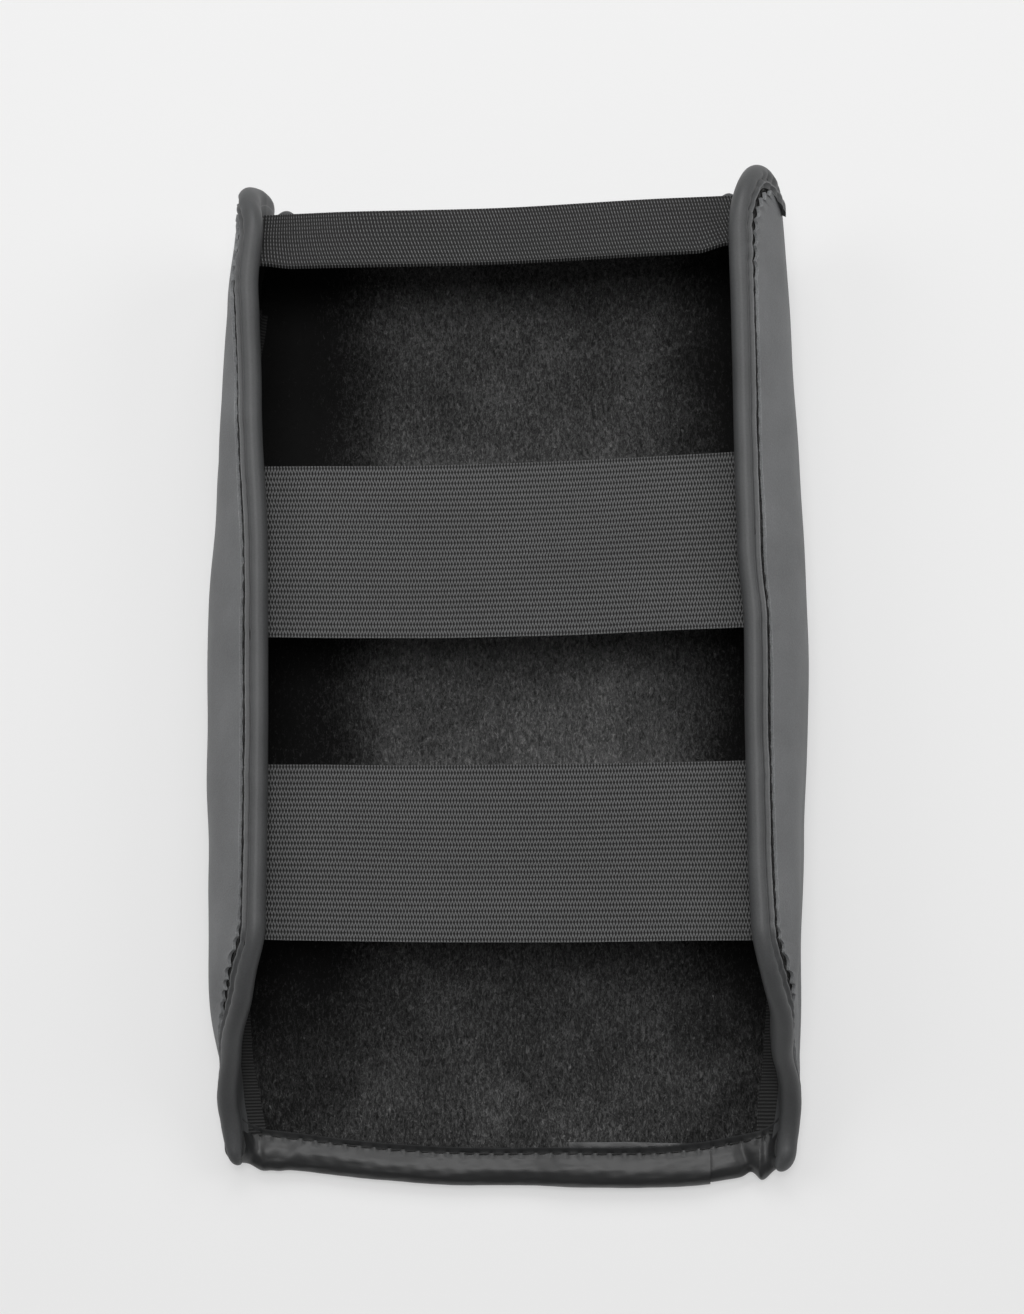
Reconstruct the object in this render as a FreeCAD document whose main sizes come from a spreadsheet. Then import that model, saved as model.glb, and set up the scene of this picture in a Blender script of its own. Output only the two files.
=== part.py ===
"""Slip-on padded cover, lying on its show face with the open side up (+Z).

A leather-cloth face panel, laminated with foam and felt, lies flat and turns up at the back into
a low end wall. Two laminated side walls rise from its long edges, bulge outwards and lean in again
towards a bound rim. At the front the rim falls in an S to the toe, where the cover is open. At the
back each wall ends in a free rounded ear. Two wide elastic straps cross the opening between the
rims and a narrow elastic band joins the ears.

Frame: X across the cover, Y from the toe (-Y) to the ears (+Y), Z up. The origin is under the
middle of the cover, on the surface that it lies on. Millimetres and degrees throughout.
"""

import FreeCAD, Part
import math
import os

import Sketcher
from FreeCAD import Placement, Rotation, Vector

DIMENSIONS = [
    # the laminate and what is sewn to it
    ("leather_thickness", 1.0),
    ("foam_thickness", 2.8),
    ("lining_thickness", 1.2),
    ("binding_thickness", 1.0),
    ("binding_inner_width", 8.0),
    ("binding_outer_width", 3.2),
    ("toe_binding_joint", 57.0),
    ("tape_thickness", 0.6),
    ("tape_width", 16.5),
    ("tape_on_panel", 2.5),
    ("thread_width", 0.7),
    ("thread_height", 0.4),
    ("sewing_gap", 0.1),
    ("stitch_inset", 1.6),
    # the plan outline
    ("toe_edge", -143.0),
    ("toe_radius", 417.0),
    ("seam_half_width", 76.35),
    ("barrel_radius", 1875.0),
    ("widest_place", -8.0),
    # the end wall
    ("end_bend_start", 114.5),
    ("end_bend_radius", 24.0),
    ("end_wall_height", 30.0),
    ("end_wall_half_width", 75.0),
    # the side walls
    ("corner_radius", 12.0),
    ("corner_sweep", 85.0),
    ("side_radius", 50.0),
    ("side_radius_growth", 20.0),
    ("rim_reach", 63.2),
    ("toe_reach", 17.0),
    ("toe_corner", -133.5),
    ("toe_rise_length", 63.0),
    ("ear_front", 143.0),
    ("ear_radius", 20.0),
    ("ear_sweep", 120.0),
    # the elastic straps
    ("strap_width", 50.0),
    ("strap_thickness", 1.4),
    ("strap_half_length", 66.4),
    ("strap_sewn_reach", 74.2),
    ("strap_level", 42.6),
    ("strap_end_gap", 0.3),
    ("upper_strap_place", 37.3),
    ("lower_strap_place", -50.0),
    ("end_band_width", 20.0),
    ("end_band_half_length", 65.2),
    ("end_band_sewn_reach", 72.6),
    ("end_band_place", 128.6),
    ("end_band_level", 44.2),
    ("end_band_tilt", -31.0),
]

doc = FreeCAD.newDocument("slip_cover")
sheet = doc.addObject("Spreadsheet::Sheet", "dims")
for row, (alias, value) in enumerate(DIMENSIONS, start=1):
    sheet.set(f"A{row}", alias)
    sheet.set(f"B{row}", str(value))
    sheet.setAlias(f"B{row}", alias)
doc.recompute()

laminate = sheet.leather_thickness + sheet.foam_thickness + sheet.lining_thickness
bound = laminate + sheet.binding_thickness
LEATHER = (0.0, sheet.leather_thickness)
FOAM = (sheet.leather_thickness, sheet.leather_thickness + sheet.foam_thickness)
LINING = (sheet.leather_thickness + sheet.foam_thickness, laminate)
corner_reach = sheet.corner_radius * math.radians(sheet.corner_sweep)
corner_end_angle = math.radians(sheet.corner_sweep - 90.0)
end_wall_outside = sheet.end_bend_start + sheet.end_bend_radius
end_bend_length = sheet.end_bend_radius * math.pi / 2
end_wall_along = end_bend_length + sheet.end_wall_height - sheet.end_bend_radius
ear_centre_y = sheet.ear_front - sheet.ear_radius
# leather stops short of the binding, and the thread lies in the ditch between them
leather_set_back = sheet.binding_outer_width + sheet.thread_width + 2 * sheet.sewing_gap
parts = []


# ---------------------------------------------------------------- the surface of the cover

def seam_x(y):
    """Half width of the flat face panel at y, along the barrel-shaped seam."""
    along = y - sheet.widest_place
    sag = sheet.barrel_radius - math.sqrt(sheet.barrel_radius**2 - along**2)
    return sheet.seam_half_width - sag


def side_arc(y):
    """Centre x, centre z and radius of a side wall's outer arc at y."""
    along = (y - sheet.widest_place) / sheet.ear_front
    radius = sheet.side_radius + sheet.side_radius_growth * along**2
    step = sheet.corner_radius - radius
    centre_x = seam_x(y) + step * math.cos(corner_end_angle)
    centre_z = sheet.corner_radius + step * math.sin(corner_end_angle)
    return centre_x, centre_z, radius


def wall_point(side, y, reach, depth):
    """A point of a side wall: reach runs up its outer face from the seam, depth goes inwards."""
    if reach <= corner_reach:
        angle = reach / sheet.corner_radius - math.pi / 2
        centre_x, centre_z, radius = seam_x(y), sheet.corner_radius, sheet.corner_radius
    else:
        centre_x, centre_z, radius = side_arc(y)
        angle = corner_end_angle + (reach - corner_reach) / radius
    x = centre_x + (radius - depth) * math.cos(angle)
    z = centre_z + (radius - depth) * math.sin(angle)
    return Vector(side * x, y, z)


def reach_at_height(y, height, depth):
    """The reach at which a side wall's surface at one depth comes to a height."""
    corner_sine = (height - sheet.corner_radius) / (sheet.corner_radius - depth)
    if corner_sine <= math.sin(corner_end_angle):
        return sheet.corner_radius * (math.asin(max(corner_sine, -1.0)) + math.pi / 2)
    centre_x, centre_z, radius = side_arc(y)
    angle = math.asin((height - centre_z) / (radius - depth))
    return corner_reach + radius * (angle - corner_end_angle)


def cover_point(across, y, depth):
    """A point of the flat panel or of a side wall, across being measured along the outer face."""
    beyond = abs(across) - seam_x(y)
    if beyond <= 0.0:
        return Vector(across, y, depth)
    return wall_point(math.copysign(1.0, across), y, beyond, depth)


def end_point(x, along, depth):
    """A point of the end wall, along being measured up its outer face from where it bends."""
    radius = sheet.end_bend_radius - depth
    if along >= end_bend_length:
        return Vector(x, end_wall_outside - depth, sheet.end_bend_radius + along - end_bend_length)
    turn = along / sheet.end_bend_radius
    y = sheet.end_bend_start + radius * math.sin(turn)
    return Vector(x, y, sheet.end_bend_radius - radius * math.cos(turn))


def seam_on_bend(turn, depth):
    """Where the side wall is mitred to the bend of the end wall, as (y, reach)."""
    edge = end_point(0.0, sheet.end_bend_radius * turn, depth)
    return edge.y, reach_at_height(edge.y, edge.z, depth)


def toe_y(across):
    """The toe edge of the laminate, a shallow arc over face panel and walls."""
    return sheet.toe_edge + sheet.toe_radius - math.sqrt(sheet.toe_radius**2 - across**2)


def even_steps(first, last, count):
    return [first + (last - first) * i / (count - 1) for i in range(count)]


# ---------------------------------------------------------------- the edges of a side wall

def rim_rise(y):
    """Reach and slope of the rim at y, where it climbs from the toe corner to its full height."""
    share = min(max((y - sheet.toe_corner) / sheet.toe_rise_length, 0.0), 1.0)
    rise = sheet.rim_reach - sheet.toe_reach
    reach = sheet.toe_reach + rise * share**2 * (3 - 2 * share)
    return reach, rise * 6 * share * (1 - share) / sheet.toe_rise_length


def rim_path():
    """The free edge of a side wall from toe corner to ear, as (y, reach, outward direction)."""
    path = []
    for y in even_steps(sheet.toe_corner, sheet.toe_corner + sheet.toe_rise_length, 15):
        reach, slope = rim_rise(y)
        outward = (-slope / math.hypot(1.0, slope), 1.0 / math.hypot(1.0, slope))
        path.append((y, reach, outward))
    for y in even_steps(path[-1][0], ear_centre_y, 19)[1:-1]:
        path.append((y, sheet.rim_reach, (0.0, 1.0)))
    ear_centre_reach = sheet.rim_reach - sheet.ear_radius
    for turn in even_steps(0.0, math.radians(sheet.ear_sweep), 12):
        outward = (math.sin(turn), math.cos(turn))
        y = ear_centre_y + sheet.ear_radius * outward[0]
        path.append((y, ear_centre_reach + sheet.ear_radius * outward[1], outward))
    return path


def base_path(rim, depth):
    """The sewn edge of a side wall, station for station: the seam, then the bend of the end."""
    toe = toe_y(seam_x(sheet.toe_edge))
    scale = (sheet.end_bend_start - toe) / (ear_centre_y - sheet.toe_corner)
    straight = [y for y, reach, outward in rim if outward[0] <= 0.0][:-1]
    path = [(toe + (y - sheet.toe_corner) * scale, 0.0) for y in straight]
    turns = even_steps(0.0, math.pi / 2, len(rim) - len(path))
    return path + [seam_on_bend(turn, depth) for turn in turns]


# ---------------------------------------------------------------- sheets of material

def smooth_face(grid):
    """A B-spline face with the grid as its poles: cubic, or ruled where there are two rows."""
    degrees = [min(3, count - 1) for count in (len(grid), len(grid[0]))]
    knots = []
    mults = []
    for count, degree in zip((len(grid), len(grid[0])), degrees):
        spans = count - degree
        knots.append([float(i) for i in range(spans + 1)])
        mults.append([degree + 1] + [1] * (spans - 1) + [degree + 1])
    surface = Part.BSplineSurface()
    surface.buildFromPolesMultsKnots(
        grid, mults[0], mults[1], knots[0], knots[1], False, False, degrees[0], degrees[1])
    return surface.toShape()


def sheet_solid(near, far):
    """The closed solid between two faces, each a grid of points with the same rows and columns."""
    faces = [
        smooth_face(near).reversed(),
        smooth_face(far),
        smooth_face([near[0], far[0]]),
        smooth_face([near[-1], far[-1]]).reversed(),
        smooth_face([[row[0] for row in near], [row[0] for row in far]]).reversed(),
        smooth_face([[row[-1] for row in near], [row[-1] for row in far]]),
    ]
    shell = Part.makeShell(faces)
    shell.sewShape()
    solid = Part.makeSolid(shell)
    return solid.reversed() if solid.Volume < 0 else solid


def end_wall_solid(depths, set_back):
    """One layer of the end wall: round its bend, then up to its free edge."""
    turns = even_steps(0.0, math.pi / 2, 9)
    rises = even_steps(end_bend_length, end_wall_along - set_back, 4)[1:]
    across = even_steps(-1.0, 1.0, 25)
    grids = []
    for depth in depths:
        grid = []
        for turn in turns:
            y, reach = seam_on_bend(turn, depth)
            half = wall_point(1, y, reach, depth).x
            along = sheet.end_bend_radius * turn
            grid.append([end_point(share * half, along, depth) for share in across])
        for along in rises:
            taper = (along - end_bend_length) / (end_wall_along - end_bend_length)
            width = half + (sheet.end_wall_half_width - half) * taper
            grid.append([end_point(share * width, along, depth) for share in across])
        grids.append(grid)
    return sheet_solid(grids[0], grids[1])


def wall_solid(side, depths, set_back):
    """One layer of a side wall, its free edges set back from the rim and the toe."""
    rim = rim_path()
    grids = []
    for depth in depths:
        grid = []
        for i, ((rim_y, rim_reach, outward), (base_y, base_reach)) in enumerate(
            zip(rim, base_path(rim, depth))
        ):
            toe_shift = set_back if i == 0 else 0.0
            top_y = rim_y - set_back * outward[0]
            top_reach = rim_reach - set_back * outward[1]
            rows = zip(even_steps(base_y, top_y, 21), even_steps(base_reach, top_reach, 21))
            grid.append([wall_point(side, y + toe_shift, reach, depth) for y, reach in rows])
        grids.append(grid)
    return sheet_solid(grids[0], grids[1])


def binding_outline(radius):
    """The binding's cross-section at one radius, as (distance beyond the edge, depth) pairs."""
    middle = bound / 2
    outline = [(e, middle - radius) for e in even_steps(-sheet.binding_outer_width, 0.0, 4)[:-1]]
    for turn in even_steps(0.0, math.pi, 9):
        outline.append((radius * math.sin(turn), middle - radius * math.cos(turn)))
    outline += [(e, middle + radius) for e in even_steps(0.0, -sheet.binding_inner_width, 5)[1:]]
    return outline


def binding_solid(stations, place):
    """Binding wrapped round an edge. place(station, beyond, depth) gives a point of it."""
    grids = []
    for radius in (bound / 2, bound / 2 - sheet.binding_thickness):
        outline = binding_outline(radius)
        grids.append([[place(s, e, depth) for e, depth in outline] for s in stations])
    return sheet_solid(grids[0], grids[1])


def strip_solid(stations, place, beyonds, depths):
    """A narrow strip along an edge: a tape or a line of thread."""
    steps = even_steps(beyonds[0], beyonds[1], 7)
    grids = [[[place(s, e, depth) for e in steps] for s in stations] for depth in depths]
    return sheet_solid(grids[0], grids[1])


def on_rim(side):
    """The place function of a piece that follows one rim."""
    def place(station, beyond, depth):
        y, reach, outward = station
        return wall_point(side, y + beyond * outward[0], reach + beyond * outward[1], depth)
    return place


def on_toe(across, beyond, depth):
    """The place function of a piece that follows the toe."""
    return cover_point(across, toe_y(across) - beyond, depth)


def on_end_wall(x, beyond, depth):
    """The place function of a piece that follows the top of the end wall."""
    return end_point(x, end_wall_along + beyond, depth)


def tape_reach(y):
    """How far a tape comes up the wall at y: near the toe it stops short of the rim's binding."""
    reach, slope = rim_rise(y)
    flap = sheet.binding_inner_width * math.hypot(1.0, slope) + 4 * sheet.sewing_gap
    return min(sheet.tape_width - sheet.tape_on_panel, reach - flap)


def on_seam(side):
    """The place function of a tape along the seam, its share of width running up the wall."""
    def place(y, share, depth):
        beyond = share * tape_reach(y) - (1 - share) * sheet.tape_on_panel
        return cover_point(side * (seam_x(y) + beyond), y, depth)
    return place


def add_shape(label, *solids):
    """A sub-part that follows the doubly curved surface of the cover."""
    feature = doc.addObject("Part::Feature", label)
    feature.Label = label
    feature.Shape = solids[0] if len(solids) == 1 else Part.makeCompound(solids)
    feature.Placement = Placement()
    parts.append(feature)


# ---------------------------------------------------------------- bodies with sketches

def origin_plane(body, role):
    return next(f for f in body.Origin.OriginFeatures if f.Role == role)


def new_body(name):
    body = doc.addObject("PartDesign::Body", name)
    sketch = body.newObject("Sketcher::SketchObject", name + "_plan")
    sketch.AttachmentSupport = (origin_plane(body, "XY_Plane"), [""])
    sketch.MapMode = "FlatFace"
    return body, sketch


def pad(body, sketch, length):
    """The body's solid: its plan, as thick as an expression says."""
    feature = body.newObject("PartDesign::Pad", body.Name + "_pad")
    feature.Profile = sketch
    feature.setExpression("Length", length)
    body.Tip = feature


def join_ends(sketch, ids):
    for first, second in zip(ids, ids[1:] + ids[:1]):
        sketch.addConstraint(Sketcher.Constraint("Coincident", first, 2, second, 1))


def drive(sketch, expression, *constraint):
    """A dimension of a sketch, driven by the sheet."""
    index = sketch.addConstraint(Sketcher.Constraint(*constraint))
    sketch.setExpression(f"Constraints[{index}]", expression)


# ---------------------------------------------------------------- face panel

def mirrored(point):
    return Vector(-point.x, point.y)


def arc(centre, start, end):
    """The anticlockwise arc about a centre from one point to another."""
    angles = [math.atan2(p.y - centre.y, p.x - centre.x) % (2 * math.pi) for p in (start, end)]
    circle = Part.Circle(centre, Vector(0, 0, 1), (start - centre).Length)
    return Part.ArcOfCircle(circle, angles[0], angles[1])


def plan_of_panel(sketch, set_back):
    """The flat panel's outline: toe arc, barrel-shaped sides, and the line where it bends up."""
    toe_x = seam_x(sheet.toe_edge)
    toe_corner = Vector(toe_x, toe_y(toe_x) + set_back)
    end_corner = Vector(seam_x(sheet.end_bend_start), sheet.end_bend_start)
    toe_centre = Vector(0, sheet.toe_edge + sheet.toe_radius + set_back)
    side_centre = Vector(sheet.seam_half_width - sheet.barrel_radius, sheet.widest_place)
    ids = list(sketch.addGeometry([
        arc(toe_centre, mirrored(toe_corner), toe_corner),
        arc(side_centre, toe_corner, end_corner),
        Part.LineSegment(end_corner, mirrored(end_corner)),
        arc(mirrored(side_centre), mirrored(end_corner), mirrored(toe_corner)),
    ]))
    toe, right, end, left = ids
    join_ends(sketch, ids)
    sketch.addConstraint(Sketcher.Constraint("PointOnObject", toe, 3, -2))
    sketch.addConstraint(Sketcher.Constraint("Horizontal", end))
    sketch.addConstraint(Sketcher.Constraint("Symmetric", right, 3, left, 3, -2))
    drive(sketch, "dims.toe_radius", "Radius", toe, toe_centre.y - sheet.toe_edge - set_back)
    toe_drive = f"dims.toe_edge + dims.toe_radius + {set_back}"
    drive(sketch, toe_drive, "DistanceY", -1, 1, toe, 3, toe_centre.y)
    drive(sketch, "dims.barrel_radius", "Radius", right, sheet.barrel_radius)
    drive(sketch, "dims.barrel_radius", "Radius", left, sheet.barrel_radius)
    side_drive = "dims.barrel_radius - dims.seam_half_width"
    drive(sketch, side_drive, "DistanceX", right, 3, -1, 1, -side_centre.x)
    drive(sketch, "-dims.widest_place", "DistanceY", right, 3, -1, 1, -side_centre.y)
    drive(sketch, "dims.end_bend_start", "DistanceY", -1, 1, end, 1, end_corner.y)


def face_panel(label, thickness, depths, set_back):
    """One layer of the face panel: a flat pad, joined to the turned-up end wall."""
    body, sketch = new_body(label + "_flat")
    plan_of_panel(sketch, set_back)
    pad(body, sketch, f"dims.{thickness}")
    body.Placement = Placement(Vector(0, 0, depths[0]), Rotation())
    end = doc.addObject("Part::Feature", label + "_end")
    end.Shape = end_wall_solid(depths, set_back)
    whole = doc.addObject("Part::MultiFuse", label)
    whole.Label = label
    whole.Shapes = [body, end]
    parts.append(whole)


# ---------------------------------------------------------------- straps

def plan_of_strap(sketch, width, height):
    """A rectangle centred on the origin, its two sizes driven by the sheet."""
    corners = [Vector(-1, -1), Vector(1, -1), Vector(1, 1), Vector(-1, 1)]
    lines = [Part.LineSegment(a, b) for a, b in zip(corners, corners[1:] + corners[:1])]
    ids = list(sketch.addGeometry(lines))
    bottom, right, top, left = ids
    join_ends(sketch, ids)
    for line in (bottom, top):
        sketch.addConstraint(Sketcher.Constraint("Horizontal", line))
    for line in (right, left):
        sketch.addConstraint(Sketcher.Constraint("Vertical", line))
    sketch.addConstraint(Sketcher.Constraint("Symmetric", bottom, 1, right, 2, -1, 1))
    drive(sketch, width, "DistanceX", bottom, 1, bottom, 2, 2.0)
    drive(sketch, height, "DistanceY", right, 1, right, 2, 2.0)


def place_strap(item, place, level, tilted):
    """Put a strap, or its sewn ends, at its place along the cover and its height."""
    tilt = sheet.end_band_tilt if tilted else 0.0
    item.Placement = Placement(Vector(), Rotation(Vector(1, 0, 0), tilt))
    item.setExpression("Placement.Base.y", f"dims.{place}")
    item.setExpression("Placement.Base.z", f"dims.{level}")


def strap(label, width, half_length, sewn_reach, place, level, tilted=False):
    """The free span of a strap, and the two short ends of it that are sewn in."""
    body, sketch = new_body(label)
    body.Label = label
    plan_of_strap(sketch, f"2 * dims.{half_length}", f"dims.{width}")
    pad(body, sketch, "dims.strap_thickness")

    end = doc.addObject("Part::Box", label + "_right_end")
    end.setExpression("Length", f"dims.{sewn_reach} - dims.{half_length} - dims.strap_end_gap")
    end.setExpression("Width", f"dims.{width}")
    end.setExpression("Height", "dims.strap_thickness")
    end.setExpression("Placement.Base.x", f"dims.{half_length} + dims.strap_end_gap")
    end.setExpression("Placement.Base.y", f"-dims.{width} / 2")
    other = doc.addObject("Part::Mirroring", label + "_left_end")
    other.Source = end
    other.Normal = Vector(1, 0, 0)
    both = doc.addObject("Part::Compound", label + "_sewn_ends")
    both.Label = label + "_sewn_ends"
    both.Links = [end, other]
    for item in (body, both):
        place_strap(item, place, level, tilted)
        parts.append(item)


# ---------------------------------------------------------------- the sub-parts

face_panel("face_panel_leather", "leather_thickness", LEATHER, leather_set_back)
face_panel("face_panel_foam", "foam_thickness", FOAM, 0.0)
face_panel("face_panel_felt", "lining_thickness", LINING, 0.0)

ditch = (-sheet.binding_outer_width - sheet.sewing_gap - sheet.thread_width,
         -sheet.binding_outer_width - sheet.sewing_gap)
ditch_depths = (sheet.leather_thickness - sheet.thread_height, sheet.leather_thickness)
tape_start = toe_y(seam_x(sheet.toe_edge)) + sheet.binding_inner_width + sheet.sewing_gap
tape_stations = even_steps(tape_start, sheet.end_bend_start, 20)
for name, side in (("left", -1), ("right", 1)):
    add_shape(name + "_wall_leather", wall_solid(side, LEATHER, leather_set_back))
    add_shape(name + "_wall_foam", wall_solid(side, FOAM, 0.0))
    add_shape(name + "_wall_lining", wall_solid(side, LINING, 0.0))
    add_shape(name + "_rim_binding", binding_solid(rim_path(), on_rim(side)))
    add_shape(name + "_rim_stitching", strip_solid(rim_path(), on_rim(side), ditch, ditch_depths))
    tape_depths = (laminate, laminate + sheet.tape_thickness)
    add_shape(name + "_seam_tape", strip_solid(tape_stations, on_seam(side), (0.0, 1.0), tape_depths))

toe_end = seam_x(sheet.toe_edge) + sheet.toe_reach
toe_left = even_steps(-toe_end, sheet.toe_binding_joint - sheet.sewing_gap, 37)
toe_right = even_steps(sheet.toe_binding_joint, toe_end, 9)
add_shape("toe_binding_left", binding_solid(toe_left, on_toe))
add_shape("toe_binding_right", binding_solid(toe_right, on_toe))
stitch_line = sheet.stitch_inset - sheet.binding_inner_width
toe_thread = (stitch_line, stitch_line + sheet.thread_width)
add_shape("toe_stitching", strip_solid(even_steps(-toe_end, toe_end, 41), on_toe, toe_thread,
                                       (bound, bound + sheet.thread_height)))
end_stations = even_steps(-sheet.end_wall_half_width, sheet.end_wall_half_width, 15)
add_shape("end_wall_binding", binding_solid(end_stations, on_end_wall))

strap("upper_strap", "strap_width", "strap_half_length", "strap_sewn_reach",
      "upper_strap_place", "strap_level")
strap("lower_strap", "strap_width", "strap_half_length", "strap_sewn_reach",
      "lower_strap_place", "strap_level")
strap("end_band", "end_band_width", "end_band_half_length", "end_band_sewn_reach",
      "end_band_place", "end_band_level", tilted=True)

doc.recompute()
for item in doc.Objects:
    if "Invalid" in item.State or "Error" in item.State:
        raise RuntimeError(f"{item.Label} did not recompute: {item.State}")
os.makedirs("parts", exist_ok=True)
for item in parts:
    if item.Shape.isNull() or not item.Shape.isValid():
        raise RuntimeError(f"{item.Label} has no valid shape")
    item.Shape.exportStep(f"parts/{item.Label}.step")
    box = item.Shape.BoundBox
    print(f"{item.Label}: {item.Shape.Volume:.0f} mm3, x {box.XMin:.1f} to {box.XMax:.1f},"
          f" y {box.YMin:.1f} to {box.YMax:.1f}, z {box.ZMin:.1f} to {box.ZMax:.1f}")
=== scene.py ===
"""Looks for the slip-on padded cover: leather cloth, foam, felt, ribbed elastic and its sewing.

Every sheet is a grid of points on the cover's own surface, found by the same few arcs that shape
its solids, and then relaxed a little as sewn goods are. Lengths here are millimetres until a mesh is
made. Frame: X across, Y from the open toe (-Y) to the ears (+Y), Z up, resting on z = 0.
"""

import math

import bpy
import numpy as np
from mathutils import Matrix, Vector


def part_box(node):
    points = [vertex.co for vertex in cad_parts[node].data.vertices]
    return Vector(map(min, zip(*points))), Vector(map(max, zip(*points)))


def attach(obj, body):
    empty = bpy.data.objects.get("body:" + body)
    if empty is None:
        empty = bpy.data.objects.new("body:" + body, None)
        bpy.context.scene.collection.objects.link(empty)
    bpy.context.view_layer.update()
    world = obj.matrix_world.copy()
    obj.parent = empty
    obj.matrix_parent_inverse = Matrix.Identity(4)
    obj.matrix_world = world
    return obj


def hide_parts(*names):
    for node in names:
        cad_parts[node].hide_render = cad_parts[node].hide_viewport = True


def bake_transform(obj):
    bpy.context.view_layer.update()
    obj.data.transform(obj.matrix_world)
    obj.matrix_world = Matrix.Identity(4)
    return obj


MM = 0.001
COVER = "cover"
SHARP_EDGE = math.radians(40.0)

# the laminate, and the binding wrapped round its edges
LEATHER = 1.0
FOAM = 2.8
LINING = 1.2
LAMINATE = LEATHER + FOAM + LINING
BINDING = 1.0
BOUND = LAMINATE + BINDING
FLAP_OUT = 3.3
FLAP_IN = 8.0
THREAD = 0.55
TAPE_WIDTH = 16.5
TAPE_EDGE_LEFT = ((-134, -0.8), (-106, 5.5))
TAPE_EDGE_RIGHT = ((-125, -1.0), (-90, 0.8))

# the plan outline, the end wall and the side walls
TOE_EDGE = -143.0
TOE_RADIUS = 417.0
SEAM_HALF = 76.35
BARREL_RADIUS = 1875.0
WIDEST = -8.0
BEND_START = 114.5
BEND_RADIUS = 24.0
END_WALL_HEIGHT = 30.0
END_WALL_HALF = 75.0
CORNER_RADIUS = 12.0
CORNER_SWEEP = math.radians(85.0)
CORNER_END = CORNER_SWEEP - math.pi / 2
CORNER_REACH = CORNER_RADIUS * CORNER_SWEEP
SIDE_RADIUS = 50.0
SIDE_GROWTH = 20.0
RIM_REACH = 63.2
TOE_REACH = 17.0
TOE_CORNER = -133.5
TOE_RISE = 63.0
EAR_FRONT = 143.0
EAR_RADIUS = 20.0
EAR_SWEEP = math.radians(120.0)
EAR_CENTRE = EAR_FRONT - EAR_RADIUS

END_WALL_TOP = BEND_RADIUS * math.pi / 2 + END_WALL_HEIGHT - BEND_RADIUS

# the elastic: widths, ribs and the length of one knitted stitch
STRAP_WIDTH = 50.0
STRAP_RIBS = 31
BAND_WIDTH = 20.0
BAND_RIBS = 12
SELVEDGE = 0.45
STITCH_LENGTH = 0.89
BAND_TILT = math.radians(-31.0)
SEWN_REACH = 72.5

# the rim stitches, the lip of the rim binding's flap, and the ribs of the seam tape
RIM_STITCH_PITCH = 4.9
RIM_STITCH = 3.6
LIP = 1.9
TAPE_RIB = 0.9

# the toe binding, and the turn of each rim binding down over its end
TOE_JOINT = 57.0
STITCH_PITCH = 4.3
STITCH_INSET = 1.7
TUCK_OUT = 3.2
TUCK_DOWN_LEFT = 4.0
TUCK_DOWN_RIGHT = 8.3
TUCK_SWEEP = math.radians(85.0)

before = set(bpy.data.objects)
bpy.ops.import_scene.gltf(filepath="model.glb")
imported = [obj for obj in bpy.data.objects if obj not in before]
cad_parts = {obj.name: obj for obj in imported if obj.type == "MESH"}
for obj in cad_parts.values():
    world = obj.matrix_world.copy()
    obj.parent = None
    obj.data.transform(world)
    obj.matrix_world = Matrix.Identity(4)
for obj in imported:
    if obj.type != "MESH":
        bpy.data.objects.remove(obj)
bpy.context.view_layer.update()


# ------------------------------------------------------------------ the surface of the cover

def smoothstep(low, high, value):
    share = np.clip((value - low) / (high - low), 0.0, 1.0)
    return share * share * (3 - 2 * share)


def hump(centre, width, value):
    return np.exp(-((value - centre) / width) ** 2)


def seam_x(y):
    """Half width of the flat panel at y."""
    return SEAM_HALF - BARREL_RADIUS + np.sqrt(BARREL_RADIUS**2 - (y - WIDEST) ** 2)


def side_arc(y):
    """Centre and radius of a side wall's outer arc at y."""
    radius = SIDE_RADIUS + SIDE_GROWTH * ((y - WIDEST) / EAR_FRONT) ** 2
    step = CORNER_RADIUS - radius
    return seam_x(y) + step * math.cos(CORNER_END), CORNER_RADIUS + step * math.sin(CORNER_END), radius


def wall(side, y, reach, depth):
    """Points of a side wall: reach up its outer face from the seam, depth inwards from it."""
    y, reach, depth = np.broadcast_arrays(
        np.asarray(y, float), np.asarray(reach, float), np.asarray(depth, float))
    centre_x, centre_z, radius = side_arc(y)
    low = reach <= CORNER_REACH
    angle = np.where(low, reach / CORNER_RADIUS - math.pi / 2,
                     CORNER_END + (reach - CORNER_REACH) / radius)
    centre_x = np.where(low, seam_x(y), centre_x)
    centre_z = np.where(low, CORNER_RADIUS, centre_z)
    radius = np.where(low, CORNER_RADIUS, radius) - depth
    x = centre_x + radius * np.cos(angle)
    return np.stack([side * x, y, centre_z + radius * np.sin(angle)], -1)


def cover(across, y, depth):
    """Points of the flat panel or of the walls, across being measured along the outer face."""
    across, y, depth = np.broadcast_arrays(
        np.asarray(across, float), np.asarray(y, float), np.asarray(depth, float))
    beyond = np.abs(across) - seam_x(y)
    flat = np.stack([across, y, depth], -1)
    side = np.where(across < 0, -1.0, 1.0)
    return np.where((beyond <= 0)[..., None], flat, wall(side, y, np.maximum(beyond, 0), depth))


def end_wall(x, along, depth):
    """Points of the end wall, along being measured up its outer face from where it bends."""
    x, along, depth = np.broadcast_arrays(
        np.asarray(x, float), np.asarray(along, float), np.asarray(depth, float))
    turn = np.clip(along / BEND_RADIUS, 0.0, math.pi / 2)
    extra = np.maximum(along - BEND_RADIUS * math.pi / 2, 0.0)
    before = np.minimum(along, 0.0)
    radius = BEND_RADIUS - depth
    y = BEND_START + before + radius * np.sin(turn)
    return np.stack([x, y, BEND_RADIUS - radius * np.cos(turn) + extra], -1)


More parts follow.
